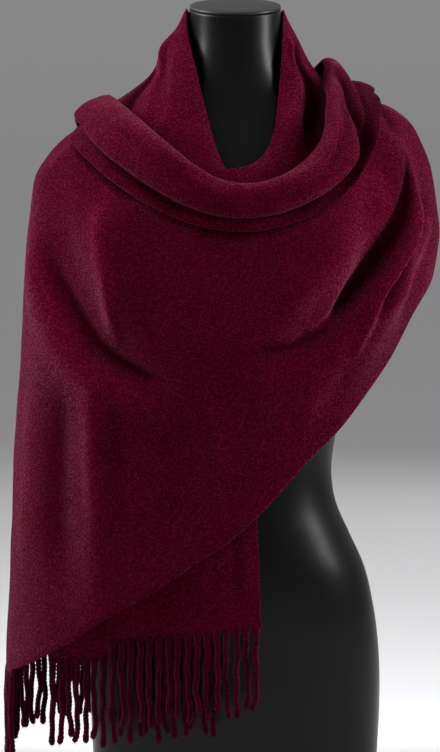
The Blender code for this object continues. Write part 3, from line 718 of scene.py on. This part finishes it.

# %% [markdown]
# ## The wide front, with the back and the tail
#
# Cloth that is pulled over a shoulder and weighed down by its corner makes swags. On the viewer's left one
# swag turns from the shoulder down towards the middle, with a light ridge above it. On the right a deep
# valley runs down from the shoulder, with narrower folds beside it. Where the cloth hangs free it falls in
# long upright waves. The back and the tail don't show from the front, and get folds of the same kind.

# %% The creases and painted shadows of the front, back and tail
COWL_VALLEYS = [
    Crease(-0.01, 0.01, 0.012, [(279, 0.778), (289, 0.755), (297, 0.731), (301, 0.702), (309, 0.668)]),
    even(-0.006, 0.008, [(268, 0.765), (274, 0.745), (280, 0.722), (287, 0.7)]),
]
# Painted shadow: a dark line in the colour along the roll's lower lip and on the cloth just under it.
ROLL_LIP_PAINTED_SHADOW = [
    even(0.75, 0.0035, [
        (440, 0.716), (433, 0.709), (414, 0.68), (398, 0.651), (383, 0.629), (366, 0.618), (350, 0.618),
        (335, 0.628), (322, 0.645), (310, 0.672), (301, 0.705), (295, 0.735),
    ]),
]
# Painted shadow: a dark line in the colour along the lower fold's lip and on the drape just under it.
FOLD_LIP_PAINTED_SHADOW = [
    Crease(0.75, 0.0035, 0.0045, [
        (437, 0.7), (428, 0.682), (413, 0.652), (398, 0.63), (382, 0.611), (366, 0.603), (350, 0.603),
        (335, 0.611), (322, 0.627), (310, 0.655), (301, 0.69), (295, 0.72),
    ]),
]
UNDER_ROLL = [
    even(-0.004, 0.007, [
        (438, 0.712), (427, 0.7), (414, 0.679), (398, 0.65), (383, 0.628), (366, 0.618),
    ]),
    even(-0.006, 0.008, [(298, 0.712), (306, 0.678), (316, 0.65), (330, 0.63), (348, 0.618)]),
]
LEFT_SWAG = [(433, 0.606), (427, 0.56), (418, 0.518), (411, 0.489), (403, 0.469), (393, 0.457), (379, 0.45)]
RIGHT_FOLD = [(279, 0.648), (287, 0.612), (296, 0.58), (304.5, 0.545), (311, 0.51)]
DRAPE_CREASES = [
    Crease(-0.0065, 0.006, 0.009, LEFT_SWAG),
    Crease(0.007, 0.015, 0.008, [(418, 0.665), (410, 0.605), (405.5, 0.56), (404, 0.52), (405, 0.48)]),
    Crease(0.0075, 0.022, 0.012, [
        (440, 0.622), (433, 0.56), (424, 0.513), (414, 0.472), (403, 0.447), (388, 0.43),
    ]),
    even(-0.0015, 0.006, [(406, 0.464), (398, 0.449), (389, 0.442)]),
    Crease(0.011, 0.018, 0.011, [(296, 0.684), (301, 0.632), (312, 0.583), (323, 0.532), (335, 0.498)]),
    Crease(-0.0125, 0.008, 0.006, [(283, 0.698), (291, 0.64), (303, 0.583), (314.5, 0.541), (327, 0.5)]),
    even(-0.004, 0.007, [(321, 0.515), (330, 0.498), (340, 0.488), (356, 0.484)]),
    Crease(0.0075, 0.007, 0.005, [(283, 0.662), (291, 0.613), (302, 0.563), (311, 0.52), (318, 0.465)]),
    Crease(-0.008, 0.005, 0.006, RIGHT_FOLD),
    Crease(0.0045, 0.007, 0.008, [(279, 0.635), (286, 0.59), (296, 0.55), (306, 0.515)]),
    even(0.002, 0.012, [(319, 0.495), (326, 0.449), (336, 0.41)]),
    Crease(0.004, 0.014, 0.009, [(407, 0.47), (409, 0.42), (409.5, 0.38), (410.5, 0.24)]),
    Crease(-0.0022, 0.008, 0.01, [(403, 0.455), (402.5, 0.383), (403, 0.262)]),
    even(-0.004, 0.012, [(419, 0.455), (423, 0.379), (424, 0.24)]),
    even(0.0022, 0.013, [(431, 0.45), (434, 0.376), (435, 0.22)]),
    even(-0.0012, 0.02, [(388, 0.42), (386, 0.36), (383, 0.3)]),
    even(0.001, 0.018, [(372, 0.44), (368, 0.39), (364, 0.33)]),
    even(-0.0012, 0.016, [(366, 0.552), (352, 0.56), (340, 0.59)]),
    even(0.0024, 0.012, [(446, 0.66), (443, 0.5), (444, 0.24)]),
    even(-0.003, 0.01, [(453, 0.65), (452, 0.45), (454, 0.2)]),
    even(-0.004, 0.009, [(466, 0.68), (468, 0.46), (466, 0.2)]),
    even(0.004, 0.01, [(474, 0.69), (478, 0.43), (480, 0.19)]),
    even(-0.0036, 0.009, [(484, 0.64), (490, 0.42), (490, 0.19)]),
    even(0.0024, 0.01, [(497, 0.5), (503, 0.35), (504, 0.2)]),
    Crease(-0.005, 0.01, 0.012, [(252, 0.71), (228, 0.65), (200, 0.612), (150, 0.6)]),
    even(0.0036, 0.012, [(250, 0.69), (222, 0.61), (190, 0.575), (150, 0.56)]),
    Crease(-0.0042, 0.009, 0.012, [(256, 0.67), (240, 0.58), (215, 0.52), (170, 0.49)]),
    even(0.003, 0.011, [(260, 0.65), (248, 0.56), (228, 0.49), (200, 0.45)]),
    even(-0.0034, 0.009, [(264, 0.7), (262, 0.64), (255, 0.56), (240, 0.48)]),
    even(-0.0028, 0.009, [(270, 0.72), (272, 0.66), (276, 0.6)]),
    even(0.0026, 0.01, [(238, 0.705), (205, 0.664), (165, 0.655)]),
    even(-0.0024, 0.012, [(180, 0.56), (162, 0.48), (152, 0.4)]),
]
# Painted shadows on the drape: under the fold's lip, in the valley and swag bottoms, and below the left
# shoulder.
DRAPE_PAINTED_SHADOWS = FOLD_LIP_PAINTED_SHADOW + [
    Crease(0.6, 0.006, 0.005, [(282, 0.698), (291, 0.64), (304, 0.583), (315, 0.541), (328, 0.5)]),
    even(0.15, 0.006, RIGHT_FOLD),
    even(0.25, 0.006, [(322, 0.51), (334, 0.492), (348, 0.484), (366, 0.482)]),
    Crease(0.12, 0.006, 0.008, LEFT_SWAG),
    Crease(0.95, 0.0045, 0.005, [
        (452, 0.726), (443, 0.712), (437, 0.701), (428, 0.683), (413, 0.653), (404, 0.639),
    ]),
    Crease(0.25, 0.02, 0.03, [(404, 0.64), (400, 0.59), (396, 0.54), (392, 0.5)]),
]
FINE_WINDOWS = [Window(281, 350, 0.46, 0.70), Window(370, 436, 0.44, 0.66)]
LEFT_SHOULDER = [Nudge(-0.206, -0.015, 0.705, 0.050, (0.014, 0, -0.006))]
print(f"{len(COWL_VALLEYS + UNDER_ROLL + DRAPE_CREASES)} creases, {len(DRAPE_PAINTED_SHADOWS)} dark lines")

# %% The front, back and tail
DRAPE_WALLS = ["back_stretch", "front_stretch", "tail_stretch"]
drape = smooth_cloth("drape", DRAPE_WALLS, (0, -0.14, 0.40), 360.0, 2, cut_edge)
cut_finer(drape, FINE_WINDOWS)
crease(drape, COWL_VALLEYS + UNDER_ROLL + DRAPE_CREASES, waves=0.0016, wave_size=0.055, seed=3.0,
       painted_shadows=DRAPE_PAINTED_SHADOWS)
nudge(drape, LEFT_SHOULDER)
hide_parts("back_stretch", "front_stretch", "tail_stretch")

# %% [markdown]
# ## The inner end
#
# The end that hangs inside is flat and heavy, in two layers. It only shows below the long diagonal edge, and
# carries a few faint upright waves from where the fringe pulls at it.

# %% The two layers of the inner end
INNER_CREASES = [
    even(-0.0012, 0.012, [(392, 0.46), (389, 0.33), (387, 0.19)]),
    even(0.001, 0.011, [(378, 0.46), (375, 0.33), (374, 0.2)]),
    even(-0.0012, 0.01, [(362, 0.46), (361, 0.33), (360, 0.2)]),
    even(0.001, 0.012, [(404, 0.46), (404, 0.33), (404, 0.17)]),
]
inner_front = smooth_cloth("inner_front", ["inner_end_front"], (0, -0.13, 0.30), 360.0, 3, cut_edge)
crease(inner_front, INNER_CREASES, waves=0.0005, wave_size=0.03, seed=7.0)
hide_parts("inner_end_front")
inner_back = smooth_cloth("inner_back", ["inner_end_back"], (-0.05, -0.12, 0.30), 382.0, 3, cut_edge)
crease(inner_back, INNER_CREASES, waves=0.0005, wave_size=0.03, seed=8.0)
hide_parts("inner_end_back")

# %% [markdown]
# ## The collar
#
# Round the neck the cloth stands on edge and leans out. It is held only at its foot, so its upper edge keeps
# a slight sway, and a few soft folds fan down from it.

# %% The collar
# Painted shadows: dark lines in the colour along the gaps beside the collar's folded edges, right and left.
COLLAR_PAINTED_SHADOWS = [
    Crease(1.00, 0.008, 0.013, [(284, 0.812), (291, 0.771), (305, 0.729), (315, 0.7), (325, 0.68)]),
    Crease(0.6, 0.008, 0.005, [(100, 0.8), (88, 0.765), (79, 0.745), (66, 0.715), (58, 0.69)]),
]
COLLAR_CREASES = [
    even(0.0016, 0.01, [(66, 0.8), (50, 0.75), (42, 0.7)]),
    even(-0.002, 0.009, [(78, 0.815), (66, 0.765), (58, 0.72)]),
    even(0.0018, 0.01, [(95, 0.82), (92, 0.775), (86, 0.74)]),
    even(-0.002, 0.01, [(128, 0.82), (130, 0.78), (134, 0.735)]),
    even(0.0016, 0.011, [(165, 0.815), (168, 0.77), (172, 0.73)]),
    even(-0.0018, 0.01, [(205, 0.815), (203, 0.775), (200, 0.735)]),
    even(0.0016, 0.01, [(240, 0.825), (236, 0.785), (232, 0.75)]),
    Crease(0.004, 0.008, 0.006, [(289, 0.818), (298, 0.78), (311, 0.739), (325, 0.698)]),
    Crease(-0.005, 0.006, 0.01, [(286, 0.8), (293, 0.771), (307, 0.729), (317, 0.7)]),
    Crease(0.0045, 0.01, 0.006, [(88, 0.812), (72, 0.78), (64, 0.75), (54, 0.715)]),
    Crease(-0.0045, 0.007, 0.006, [(98, 0.8), (84, 0.765), (76, 0.745), (64, 0.715)]),
]
collar = smooth_cloth("collar_stretch", ["collar"], (0, 0.058, 0.80), 180.0, 3, cut_edge)
crease(collar, COLLAR_CREASES, waves=0.0010, wave_size=0.035, seed=5.0, painted_shadows=COLLAR_PAINTED_SHADOWS)
nudge(collar, [
    Nudge(0.052, -0.018, 0.832, 0.035, (0, 0, -0.007)),
    Nudge(0.076, -0.030, 0.782, 0.030, (-0.006, 0, 0)),
    Nudge(-0.072, -0.010, 0.790, 0.035, (-0.006, 0, 0)),
])
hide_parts("collar")

# %% [markdown]
# ## The cowl
#
# Across the chest the cloth is bunched into a full, round roll with a narrow fold under it. Bunched wool
# never lies quite even: long shallow furrows run with it, and short slanting ones cross where it turns up to
# the shoulders. The same furrows go on over the shoulder and down the back.

# %% The creases and painted shade of the roll and the lower fold
# Painted shade: the lower fold's right end is darkened in the colour, where the roll shades it.
FOLD_END_PAINTED_SHADE = [
    even(0.65, 0.01, [(262, 0.77), (275, 0.752), (288, 0.732), (298, 0.7), (308, 0.668), (320, 0.64)]),
]
ROLL_CREASES = [
    even(-0.0018, 0.006, [(420, 0.722), (392, 0.678), (372, 0.644)]),
    even(-0.0012, 0.0055, [(402, 0.708), (380, 0.668), (355, 0.645)]),
    even(-0.0022, 0.006, [(362, 0.634), (340, 0.64), (322, 0.668)]),
    even(0.0016, 0.006, [(345, 0.652), (326, 0.676), (314, 0.712)]),
    even(-0.0024, 0.0055, [(330, 0.652), (312, 0.7), (300, 0.745)]),
    even(0.0018, 0.005, [(318, 0.69), (303, 0.738), (285, 0.77)]),
    even(-0.0016, 0.006, [(428, 0.7), (436, 0.726), (450, 0.73)]),
    even(0.0014, 0.006, [(440, 0.732), (462, 0.738), (482, 0.7)]),
    even(-0.0022, 0.007, [(470, 0.72), (492, 0.64), (504, 0.5)]),
    even(0.0018, 0.006, [(500, 0.6), (512, 0.42), (517, 0.25)]),
    even(-0.0018, 0.006, [(505, 0.48), (518, 0.33), (524, 0.2)]),
    even(-0.0022, 0.006, [(262, 0.765), (238, 0.738), (215, 0.716)]),
    even(0.0016, 0.006, [(245, 0.745), (205, 0.712), (165, 0.704)]),
    even(-0.0018, 0.0055, [(215, 0.7), (180, 0.692), (150, 0.705)]),
]
FOLD_CREASES = [
    even(-0.001, 0.0045, [(418, 0.68), (400, 0.65), (378, 0.622)]),
    even(-0.0012, 0.0045, [(356, 0.612), (340, 0.616), (322, 0.64)]),
    even(0.001, 0.0045, [(322, 0.632), (310, 0.66), (300, 0.7)]),
    even(-0.0014, 0.005, [(470, 0.69), (494, 0.56), (506, 0.36)]),
    even(-0.0012, 0.005, [(240, 0.71), (205, 0.68), (165, 0.676)]),
]
LEFT_ROLL_END = [Nudge(-0.165, -0.02, 0.745, 0.045, (-0.004, 0, -0.004))]
ROLL_START = [Nudge(-0.106, 0.095, 0.725, 0.036, (-0.012, -0.002, 0))]
LEFT_FOLD_END = [Nudge(-0.180, 0.020, 0.712, 0.060, (0.012, 0, -0.005))]
roll_start_before = 300
print(f"{len(ROLL_CREASES)} furrows on the roll, {len(FOLD_CREASES)} on the lower fold")

# %% The roll and the lower fold
roll = smooth_cloth("roll", ["cowl_roll"], (0, -0.153, 0.636), 360.0, 3, folded_edge)
crease(roll, COWL_VALLEYS + ROLL_CREASES, waves=0.0016, wave_size=0.030, seed=2.0, painted_shadows=ROLL_LIP_PAINTED_SHADOW)
nudge(roll, LEFT_ROLL_END)
nudge(roll, ROLL_START, before=roll_start_before)
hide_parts("cowl_roll")
lower_fold = smooth_cloth("lower_fold", ["cowl_lower_fold"], (0, -0.14, 0.616), 360.0, 3, folded_edge)
crease(lower_fold, COWL_VALLEYS + UNDER_ROLL + FOLD_CREASES, waves=0.0008, wave_size=0.030, seed=4.0,
       painted_shadows=ROLL_LIP_PAINTED_SHADOW + FOLD_LIP_PAINTED_SHADOW + FOLD_END_PAINTED_SHADE)
nudge(lower_fold, LEFT_SHOULDER + LEFT_FOLD_END)
nudge(lower_fold, ROLL_START, before=roll_start_before)
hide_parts("cowl_lower_fold")

# %% [markdown]
# ## The fringe
#
# At each end the warp threads run on past the cloth and are twisted by hand into cords. A cord is widest
# where it leaves the hem, because its threads gather in from both sides, and its tip is bound and a little
# frayed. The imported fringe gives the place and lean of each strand. Here each one becomes a cord of two
# plies that wind round each other, with its own small waves. A narrow band closes the hem above the cords.

# %% Reading the strands' places
rings_of_rod = 4
facing_down = -0.6
Strand = namedtuple("Strand", "line side out")


def strands_of(name):
    """The line of each packed strand from root to tip, with its root's directions, in order along the hem."""
    body = bmesh.new()
    body.from_mesh(nodes[name].data)
    bmesh.ops.remove_doubles(body, verts=body.verts, dist=same_point)
    middle = (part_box(name)[0].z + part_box(name)[1].z) / 2
    tips = [f for f in body.faces if f.normal.z < facing_down and f.calc_center_median().z < middle]
    found, used = [], set()
    for face in tips:
        ring = set(face.verts)
        for other in tips:
            if other is not face and len(ring & set(other.verts)) >= 2:
                ring |= set(other.verts)
        if any(v.index in used for v in ring):
            continue
        line, below = [], set()
        for _ in range(rings_of_rod):
            in_order = sorted(ring, key=lambda v: v.index)
            line.append(sum((v.co for v in in_order), Vector()) / len(ring))
            used |= {v.index for v in ring}
            last = ring
            ring = {e.other_vert(v) for v in ring for e in v.link_edges} - ring - below
            below = last
        found.append(line[::-1])
    body.free()
    chains = []
    for start in range(len(found)):
        left, order, length = set(range(len(found))) - {start}, [start], 0.0
        while left:
            near = min(left, key=lambda k: (found[k][0] - found[order[-1]][0]).length)
            length += (found[near][0] - found[order[-1]][0]).length
            order.append(near)
            left.remove(near)
        chains.append((length, order))
    shortest = min(length for length, _ in chains) + same_point
    short = [order for length, order in chains if length < shortest]
    order = min(short, key=lambda order: found[order[0]][0].x)
    roots = np.array([found[k][0] for k in order])
    sides = np.gradient(roots, axis=0)
    strands = []
    for row, k in enumerate(order):
        side = Vector(sides[row]).normalized()
        drop = (found[k][1] - found[k][0]).normalized()
        side = (side - drop * side.dot(drop)).normalized()
        strands.append(Strand(np.array(found[k]), np.array(side), np.array(side.cross(drop))))
    return strands


FRINGES = ("fringe_inner_front", "fringe_inner_back", "fringe_tail", "fringe_lower_fold", "fringe_roll")
strands_at = {node: strands_of(node) for node in FRINGES}
print("strands:", ", ".join(f"{node} {len(strands)}" for node, strands in strands_at.items()))

# %% One cord
cord_radius = 0.0034
cord_sides = 10
cord_steps = 84
cord_taper = 0.12
length_spread = 0.05
sway_range = (0.0008, 0.0026)
ripple = 0.0007
sway_rate, ripple_rate, out_rate = 7.0, 19.0, 9.0
hanging_free = 0.30
ply_turn = 0.0085
ply_core, ply_lobe = 0.80, 0.24
gather_length = 0.0045
root_width, root_depth = 1.75, 0.52
binding_rise, binding_length, binding_swell = 0.006, 0.0030, 0.22
tip_length, tip_blunt = 0.0016, 0.02


def cord_mesh(strand, number, seed):
    """The points and faces of one twisted cord."""
    wobble = np.random.default_rng(seed * 1000 + number)
    reach = 1 + wobble.uniform(-length_spread, length_spread)
    phase = wobble.uniform(0, 2 * math.pi, 4)
    sway = wobble.uniform(*sway_range, 2)
    share = np.linspace(0, 1, cord_steps)
    line = through(np.linspace(0, 1, len(strand.line)), strand.line, share)
    line[:, 2] = line[0, 2] + (line[:, 2] - line[0, 2]) * reach
    length = np.linalg.norm(line[-1] - line[0])
    grow = ease(share / hanging_free)[:, None]
    line = line + strand.side * (sway[0] * np.sin(phase[0] + sway_rate * share) * share)[:, None] * grow
    line = line + strand.side * (ripple * np.sin(phase[1] + ripple_rate * share))[:, None] * grow
    line = line + strand.out * (ripple * np.sin(phase[2] + out_rate * share))[:, None] * grow
    down = np.gradient(line, axis=0)
    down /= np.linalg.norm(down, axis=-1, keepdims=True)
    side = strand.side - down * (down @ strand.side)[:, None]
    side /= np.linalg.norm(side, axis=-1, keepdims=True)
    out = np.cross(side, down)
    gather = np.exp(-share * length / gather_length)[:, None]
    bound = np.exp(-(((1 - share) * length - binding_rise) / binding_length) ** 2)[:, None]
    closed = np.sqrt(np.clip((1 - share) * length / tip_length, tip_blunt, 1))[:, None]
    around = np.linspace(0, 2 * math.pi, cord_sides, endpoint=False)[None, :]
    twist = phase[3] + 2 * math.pi * (share * length / ply_turn)[:, None] * (1 - 0.5 * gather)
    lobes = ply_core + ply_lobe * np.abs(np.cos(around - twist))
    radius = cord_radius * (1 - cord_taper * share[:, None]) * (1 + binding_swell * bound) * closed
    wide = radius * (lobes * (1 - gather) + root_width * gather)
    deep = radius * (lobes * (1 - gather) + root_depth * gather)
    points = line[:, None] + side[:, None] * (wide * np.cos(around))[..., None]
    points = points + out[:, None] * (deep * np.sin(around))[..., None]
    quads, ends = ring_faces(cord_steps, cord_sides)
    return points.reshape(-1, 3), [(a, d, c, b) for a, b, c, d in quads] + [end[::-1] for end in ends]


print(f"a cord is {2000 * cord_radius:.1f} mm thick and turns once in {1000 * ply_turn:.1f} mm")

# %% A frayed tip
fibre_count = 6
fibre_radius = 0.00035
fibre_lean = 0.28
fibre_reach = (0.003, 0.006)
fibre_seed = 500


def frayed_tip(cord_points, number, seed):
    """A few loose fibres under a cord's tip, each a thin three-sided spike."""
    wobble = np.random.default_rng(seed * 1000 + number + fibre_seed)
    ring = cord_points[-3 * cord_sides:-2 * cord_sides]
    middle = ring.mean(axis=0)
    points, faces = [], []
    for _ in range(fibre_count):
        start = middle + (ring[wobble.integers(cord_sides)] - middle) * 0.5
        lean = np.array([*wobble.normal(0, fibre_lean, 2), -1.0])
        reach = wobble.uniform(*fibre_reach)
        base = len(points)
        for k in range(3):
            angle = 2 * math.pi * k / 3
            points.append(start + fibre_radius * np.array([math.cos(angle), math.sin(angle), 0]))
        points.append(start + lean * reach)
        faces += [(base, base + 2, base + 1), (base, base + 1, base + 3), (base + 1, base + 2, base + 3),
                  (base + 2, base, base + 3)]
    return np.array(points), faces


print(f"a tip has {fibre_count} loose fibres")

# %% The hem band
band_height = 0.0046
band_profile = [(band_height + 0.003, 0.0007), (band_height, 0.0011), (-0.0006, 0.0013), (-0.0024, 0.0010)]
band_steps = 8
arch_height = 0.0016
arch_shape = 1.5
arched_below = 0.003


def hem_band(strands):
    """The last few millimetres of cloth above the cords, with a shallow arch between each two."""
    roots = np.array([s.line[0] for s in strands])
    sides = np.array([s.side for s in strands])
    outs = np.array([s.out for s in strands])
    drops = np.array([(s.line[1] - s.line[0]) / np.linalg.norm(s.line[1] - s.line[0]) for s in strands])
    half = np.linalg.norm(roots[1] - roots[0]) / 2
    ends = [roots[0] - sides[0] * half, *roots, roots[-1] + sides[-1] * half]
    knots = np.arange(len(ends), dtype=float)
    knots[0], knots[-1] = 0.5, len(ends) - 1.5
    at = np.linspace(knots[0], knots[-1], band_steps * len(roots) + 1)
    line = through(knots, np.array(ends), at)
    number = np.clip(at - 1, 0, len(roots) - 1)
    out, drop = (
        np.stack([np.interp(number, np.arange(len(roots)), rows[:, k]) for k in range(3)], axis=-1)
        for rows in (outs, drops)
    )
    arch = arch_height * np.abs(np.sin(math.pi * at)) ** arch_shape
    fronts, backs = [], []
    for rise, thick in band_profile:
        lifted = line - drop * (rise + arch * (rise < arched_below))[:, None]
        fronts.append(lifted + out * thick)
        backs.append(lifted - out * thick)
    points = np.stack(fronts + backs[::-1], axis=1)
    quads, ends = ring_faces(*points.shape[:2])
    return points.reshape(-1, 3), quads + ends


print(f"the hem band is {1000 * (band_profile[0][0] - band_profile[-1][0]):.1f} mm high")


# %% The five fringes
def fringe(name, node, seed):
    """A hem band and its cords, on the place of a packed fringe."""
    strands = strands_at[node]
    points, faces, count = [], [], 0
    parts = [hem_band(strands)]
    for number, strand in enumerate(strands):
        cord_points, cord_faces = cord_mesh(strand, number, seed)
        parts += [(cord_points, cord_faces), frayed_tip(cord_points, number, seed)]
    for some_points, some_faces in parts:
        points.append(some_points)
        faces += [tuple(k + count for k in face) for face in some_faces]
        count += len(some_points)
    mesh = bpy.data.meshes.new(name)
    mesh.from_pydata(np.concatenate(points).tolist(), [], faces)
    body = bmesh.new()
    body.from_mesh(mesh)
    bmesh.ops.recalc_face_normals(body, faces=body.faces)
    body.to_mesh(mesh)
    body.free()
    mesh.materials.append(twisted_yarn)
    mesh.materials.append(felted_wool)
    band_faces = len(parts[0][1])
    for face in mesh.polygons[:band_faces]:
        face.material_index = 1
    mesh.shade_smooth()
    made = placed(name, mesh)
    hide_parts(node)
    print(f"{name}: {len(strands)} cords, {len(mesh.polygons)} faces")
    return made


front_fringe = fringe("front_fringe", "fringe_inner_front", 11)
under_fringe = fringe("under_fringe", "fringe_inner_back", 12)
tail_fringe = fringe("tail_fringe", "fringe_tail", 13)
fold_fringe = fringe("fold_fringe", "fringe_lower_fold", 14)
roll_fringe = fringe("roll_fringe", "fringe_roll", 15)

# %% [markdown]
# ## What rides on what, and the size of the cloth
#
# Nothing on this object moves, so everything rides on one body. Each stretch of cloth is listed with the size
# of the part of the strip that it is cut from, and its area is printed beside that size.


# %% Riding and cloth sizes
def area_of(made):
    """The area of one side of a stretch of cloth."""
    return sum(face.area for face in made.data.polygons) / 2


cloths = [
    (drape, (0.56, 1.10), [tail_fringe]),
    (collar, (0.12, 0.52), []),
    (roll, (0.075, 1.30), [roll_fringe]),
    (lower_fold, (0.045, 1.25), [fold_fringe]),
    (inner_front, (0.14, 0.46), [front_fringe]),
    (inner_back, (0.15, 0.40), [under_fringe]),
]
for made, flat, with_pieces in cloths:
    print(f"{made.name}: area {area_of(made):.4f} m2, flat {flat[0] * flat[1]:.4f} m2")
for piece in (torso, neck_plate, *(c[0] for c in cloths), *(p for c in cloths for p in c[2])):
    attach(piece, "root")
